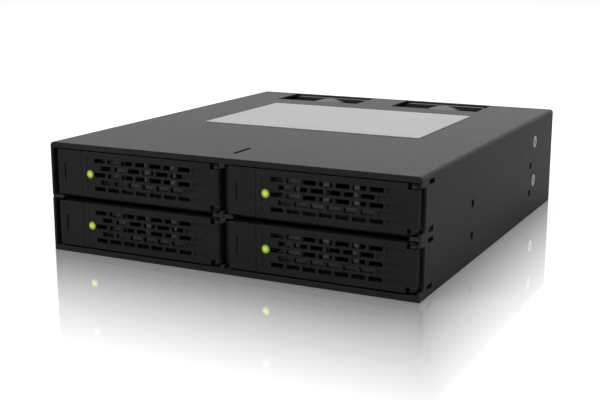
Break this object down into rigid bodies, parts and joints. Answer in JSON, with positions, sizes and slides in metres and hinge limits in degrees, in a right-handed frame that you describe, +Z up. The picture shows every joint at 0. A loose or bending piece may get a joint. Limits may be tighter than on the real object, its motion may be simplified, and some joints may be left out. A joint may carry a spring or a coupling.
{
  "type": "hot swap drive cage",
  "caption": "Low, wide metal cage for a 5.25 inch bay with swing-lever trays for 2.5 inch drives at the front, vented levers with latch buttons, and fans in the rear roof cut-outs.",
  "frame": {"origin": "middle of the footprint, on the surface that the cage stands on", "axes": "+Z up, levers face -Y, fans and cable ports at +Y, +X to the right seen from the front"},
  "size_m": [0.146, 0.168, 0.0415],
  "materials": {
    "case_black": "fine matt powder coat",
    "inner_steel": "matt powder coat",
    "lever_black": "satin powder coat on die-cast metal",
    "latch_black": "fine satin",
    "spring_steel": "bright",
    "zinc_screw": "zinc plated",
    "tray_steel": "plain",
    "light_pipe": "clear acrylic",
    "lens_clear": "clear acrylic lit by the lamp",
    "label_silver": "bare silver-grey film",
    "board_green": "solder mask",
    "connector_black": "moulded",
    "fan_black": "moulded",
    "lamp_green": "lamp body"
  },
  "bodies": {
    "cage": {"outer_shell": "case_black", "base_plate": "inner_steel", "centre_wall": "inner_steel", "shelf_left": "inner_steel", "shelf_right": "inner_steel", "label_plate": "label_silver", "rear_panel": "inner_steel", "backplane_board": "board_green", "backplane_frame": "inner_steel", "board_spacers": "zinc_screw", "board_screws": "zinc_screw", "side_screws": "zinc_screw", "base_screws": "zinc_screw", "status_lamps": "lamp_green", "drive_socket_lower_left": "connector_black", "drive_socket_lower_right": "connector_black", "drive_socket_upper_left": "connector_black", "drive_socket_upper_right": "connector_black", "data_ports_low": "connector_black", "data_ports_high": "connector_black", "power_port_low": "connector_black", "power_port_high": "connector_black", "fan_frame_left": "fan_black", "fan_frame_right": "fan_black", "fan_screws": "zinc_screw"},
    "tray_lower_left": {"tray_lower_left": "tray_steel", "bulkhead_lower_left": "inner_steel", "hinge_pins_lower_left": "spring_steel", "light_guide_lower_left": "light_pipe"},
    "lever_lower_left": {"lever_lower_left": "lever_black", "lens_lower_left": "lens_clear", "latch_spring_lower_left": "spring_steel"},
    "latch_lower_left": {"latch_button_lower_left": "latch_black"},
    "tray_lower_right": {"tray_lower_right": "tray_steel", "bulkhead_lower_right": "inner_steel", "hinge_pins_lower_right": "spring_steel", "light_guide_lower_right": "light_pipe"},
    "lever_lower_right": {"lever_lower_right": "lever_black", "lens_lower_right": "lens_clear", "latch_spring_lower_right": "spring_steel"},
    "latch_lower_right": {"latch_button_lower_right": "latch_black"},
    "tray_upper_left": {"tray_upper_left": "tray_steel", "bulkhead_upper_left": "inner_steel", "hinge_pins_upper_left": "spring_steel", "light_guide_upper_left": "light_pipe"},
    "lever_upper_left": {"lever_upper_left": "lever_black", "lens_upper_left": "lens_clear", "latch_spring_upper_left": "spring_steel"},
    "latch_upper_left": {"latch_button_upper_left": "latch_black"},
    "tray_upper_right": {"tray_upper_right": "tray_steel", "bulkhead_upper_right": "inner_steel", "hinge_pins_upper_right": "spring_steel", "light_guide_upper_right": "light_pipe"},
    "lever_upper_right": {"lever_upper_right": "lever_black", "lens_upper_right": "lens_clear", "latch_spring_upper_right": "spring_steel"},
    "latch_upper_right": {"latch_button_upper_right": "latch_black"},
    "fan_rotor_left": {"fan_rotor_left": "fan_black"},
    "fan_rotor_right": {"fan_rotor_right": "fan_black"}
  },
  "joints": [
    {"name": "tray_lower_left_slide", "type": "slide", "parent": "cage", "child": "tray_lower_left", "axis": [0, -1, 0], "range_m": [0, 0.12]},
    {"name": "lever_lower_left_swing", "type": "hinge", "parent": "tray_lower_left", "child": "lever_lower_left", "pos_m": [-0.00285, -0.0814, 0.01105], "axis": [0, 0, 1], "range_deg": [0, 75]},
    {"name": "latch_lower_left_rock", "type": "hinge", "parent": "lever_lower_left", "child": "latch_lower_left", "pos_m": [-0.0604, -0.081, 0.01105], "axis": [0, 0, -1], "range_deg": [0, 8], "stiffness_Nm_per_rad": 0.02, "springref_deg": -2.86, "deforming": ["latch_spring_lower_left"]},
    {"name": "tray_lower_right_slide", "type": "slide", "parent": "cage", "child": "tray_lower_right", "axis": [0, -1, 0], "range_m": [0, 0.12]},
    {"name": "lever_lower_right_swing", "type": "hinge", "parent": "tray_lower_right", "child": "lever_lower_right", "pos_m": [0.06975, -0.0814, 0.01105], "axis": [0, 0, 1], "range_deg": [0, 75]},
    {"name": "latch_lower_right_rock", "type": "hinge", "parent": "lever_lower_right", "child": "latch_lower_right", "pos_m": [0.0122, -0.081, 0.01105], "axis": [0, 0, -1], "range_deg": [0, 8], "stiffness_Nm_per_rad": 0.02, "springref_deg": -2.86, "deforming": ["latch_spring_lower_right"]},
    {"name": "tray_upper_left_slide", "type": "slide", "parent": "cage", "child": "tray_upper_left", "axis": [0, -1, 0], "range_m": [0, 0.12]},
    {"name": "lever_upper_left_swing", "type": "hinge", "parent": "tray_upper_left", "child": "lever_upper_left", "pos_m": [-0.00285, -0.0814, 0.03045], "axis": [0, 0, 1], "range_deg": [0, 75]},
    {"name": "latch_upper_left_rock", "type": "hinge", "parent": "lever_upper_left", "child": "latch_upper_left", "pos_m": [-0.0604, -0.081, 0.03045], "axis": [0, 0, -1], "range_deg": [0, 8], "stiffness_Nm_per_rad": 0.02, "springref_deg": -2.86, "deforming": ["latch_spring_upper_left"]},
    {"name": "tray_upper_right_slide", "type": "slide", "parent": "cage", "child": "tray_upper_right", "axis": [0, -1, 0], "range_m": [0, 0.12]},
    {"name": "lever_upper_right_swing", "type": "hinge", "parent": "tray_upper_right", "child": "lever_upper_right", "pos_m": [0.06975, -0.0814, 0.03045], "axis": [0, 0, 1], "range_deg": [0, 75]},
    {"name": "latch_upper_right_rock", "type": "hinge", "parent": "lever_upper_right", "child": "latch_upper_right", "pos_m": [0.0122, -0.081, 0.03045], "axis": [0, 0, -1], "range_deg": [0, 8], "stiffness_Nm_per_rad": 0.02, "springref_deg": -2.86, "deforming": ["latch_spring_upper_right"]},
    {"name": "fan_left_spin", "type": "hinge", "parent": "cage", "child": "fan_rotor_left", "pos_m": [-0.0333, 0.0715, 0.02065], "axis": [0, 1, 0], "continuous": true},
    {"name": "fan_right_spin", "type": "hinge", "parent": "cage", "child": "fan_rotor_right", "pos_m": [0.0243, 0.0715, 0.02065], "axis": [0, 1, 0], "continuous": true}
  ]
}
